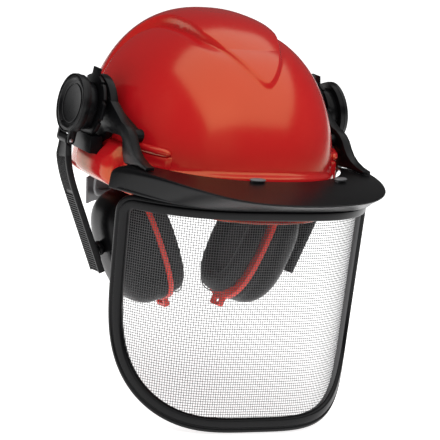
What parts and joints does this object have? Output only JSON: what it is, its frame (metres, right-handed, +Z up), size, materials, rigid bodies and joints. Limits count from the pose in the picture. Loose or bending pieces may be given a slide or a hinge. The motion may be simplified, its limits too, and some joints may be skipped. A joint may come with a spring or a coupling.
{
  "type": "forestry safety helmet",
  "caption": "Forestry safety helmet with a raised crest, a tilting wire mesh visor under a brow guard, ear muffs on swinging arms, and a headband with a nape ratchet.",
  "frame": {"origin": "where the crown of the wearer's head touches the crown pad, on the helmet's middle plane", "axes": "+Z up, -Y forwards, +X to the wearer's left"},
  "size_m": [0.2842, 0.3527, 0.3536],
  "materials": {
    "red_shell": "glossy",
    "grey_plastic": "satin",
    "padding": "matte",
    "webbing": "matte",
    "black_plastic": "satin",
    "rubber_edge": "satin",
    "wire_mesh": "satin",
    "arm_plastic": "satin, ribbed",
    "steel_pin": "brushed",
    "red_ring": "glossy",
    "cushion_cover": "soft sheen",
    "foam": "matte"
  },
  "bodies": {
    "helmet": {"shell": "red_shell", "headband": "grey_plastic", "sweatband": "padding", "cradle_strap_lower": "webbing", "cradle_strap_upper": "webbing", "crown_pad": "padding", "anchor_clip_front_left": "grey_plastic", "anchor_clip_front_right": "grey_plastic", "anchor_clip_rear_left": "grey_plastic", "anchor_clip_rear_right": "grey_plastic", "slot_adapter_left": "black_plastic", "brace_left": "black_plastic", "hub_axle_left": "black_plastic", "slot_adapter_right": "black_plastic", "brace_right": "black_plastic", "hub_axle_right": "black_plastic"},
    "visor": {"brow_guard": "black_plastic", "visor_frame": "rubber_edge", "visor_mesh": "wire_mesh", "guard_clip_left": "grey_plastic", "guard_clip_centre": "grey_plastic", "visor_arm_left": "black_plastic", "visor_arm_right": "black_plastic"},
    "nape_yoke": {"nape_yoke": "grey_plastic", "nape_pad": "padding"},
    "nape_knob": {"nape_knob": "black_plastic", "nape_pinion": "black_plastic"},
    "nape_tail_left": {"nape_tail_left": "grey_plastic"},
    "nape_tail_right": {"nape_tail_right": "grey_plastic"},
    "ear_hub_left": {"ear_drum_left": "black_plastic", "hub_cap_left": "black_plastic", "arm_pin_left": "steel_pin"},
    "ear_arm_left": {"ear_arm_left": "arm_plastic"},
    "ear_slider_left": {"ear_slider_left": "black_plastic"},
    "cup_pivot_left": {"cup_pivot_left": "black_plastic"},
    "ear_cup_left": {"cup_shell_left": "black_plastic", "cup_ring_left": "red_ring", "cushion_left": "cushion_cover", "cup_foam_left": "foam"},
    "ear_hub_right": {"ear_drum_right": "black_plastic", "hub_cap_right": "black_plastic", "arm_pin_right": "steel_pin"},
    "ear_arm_right": {"ear_arm_right": "arm_plastic"},
    "ear_slider_right": {"ear_slider_right": "black_plastic"},
    "cup_pivot_right": {"cup_pivot_right": "black_plastic"},
    "ear_cup_right": {"cup_shell_right": "black_plastic", "cup_ring_right": "red_ring", "cushion_right": "cushion_cover", "cup_foam_right": "foam"}
  },
  "joints": [
    {"name": "visor_tilt", "type": "hinge", "parent": "helmet", "child": "visor", "pos_m": [0, 0.006, -0.0545], "axis": [-1, 0, 0], "range_deg": [0, 95]},
    {"name": "ear_swing_left", "type": "hinge", "parent": "helmet", "child": "ear_hub_left", "pos_m": [0.1176, 0.006, -0.0533], "axis": [0.9903, 0, 0.1392], "range_deg": [-10, 10]},
    {"name": "ear_flip_left", "type": "hinge", "parent": "ear_hub_left", "child": "ear_arm_left", "pos_m": [0.13775, 0.006, -0.08319], "axis": [0, -1, 0], "range_deg": [0, 40]},
    {"name": "cup_slide_left", "type": "slide", "parent": "ear_arm_left", "child": "ear_slider_left", "axis": [0.4008, 0.075, 0.9131], "range_m": [-0.0065, 0.006]},
    {"name": "cup_tilt_left", "type": "hinge", "parent": "ear_slider_left", "child": "cup_pivot_left", "pos_m": [0.09822, -0.00422, -0.18283], "axis": [0, 0.9966, -0.0818], "range_deg": [-8, 8]},
    {"name": "cup_turn_left", "type": "hinge", "parent": "cup_pivot_left", "child": "ear_cup_left", "pos_m": [0.09822, -0.00422, -0.18283], "axis": [0.4008, 0.075, 0.9131], "range_deg": [-8, 8]},
    {"name": "ear_swing_right", "type": "hinge", "parent": "helmet", "child": "ear_hub_right", "pos_m": [-0.1176, 0.006, -0.0533], "axis": [-0.9903, 0, 0.1392], "range_deg": [-10, 10]},
    {"name": "ear_flip_right", "type": "hinge", "parent": "ear_hub_right", "child": "ear_arm_right", "pos_m": [-0.13775, 0.006, -0.08319], "axis": [0, 1, 0], "range_deg": [0, 40]},
    {"name": "cup_slide_right", "type": "slide", "parent": "ear_arm_right", "child": "ear_slider_right", "axis": [-0.4008, 0.075, 0.9131], "range_m": [-0.0065, 0.006]},
    {"name": "cup_tilt_right", "type": "hinge", "parent": "ear_slider_right", "child": "cup_pivot_right", "pos_m": [-0.09822, -0.00422, -0.18283], "axis": [0, 0.9966, -0.0818], "range_deg": [-8, 8]},
    {"name": "cup_turn_right", "type": "hinge", "parent": "cup_pivot_right", "child": "ear_cup_right", "pos_m": [-0.09822, -0.00422, -0.18283], "axis": [-0.4008, 0.075, 0.9131], "range_deg": [-8, 8]},
    {"name": "nape_slide", "type": "slide", "parent": "helmet", "child": "nape_yoke", "axis": [0, -1, 0], "range_m": [0, 0.00801]},
    {"name": "nape_knob_turn", "type": "hinge", "parent": "nape_yoke", "child": "nape_knob", "pos_m": [0, 0.118, -0.1485], "axis": [0, -1, 0], "range_deg": [0, 180]},
    {"name": "nape_tail_slide_left", "type": "slide", "parent": "helmet", "child": "nape_tail_left", "axis": [-0.8436, -0.537, 0], "range_m": [0, 0.015]},
    {"name": "nape_tail_slide_right", "type": "slide", "parent": "helmet", "child": "nape_tail_right", "axis": [0.8436, -0.537, 0], "range_m": [0, 0.015]}
  ],
  "couplings": [
    {"joint": "nape_slide", "follows": "nape_knob_turn", "m_per_rad": 0.0025465},
    {"joint": "nape_tail_slide_left", "follows": "nape_knob_turn", "m_per_rad": 0.0047418},
    {"joint": "nape_tail_slide_right", "follows": "nape_knob_turn", "m_per_rad": 0.0047418}
  ]
}
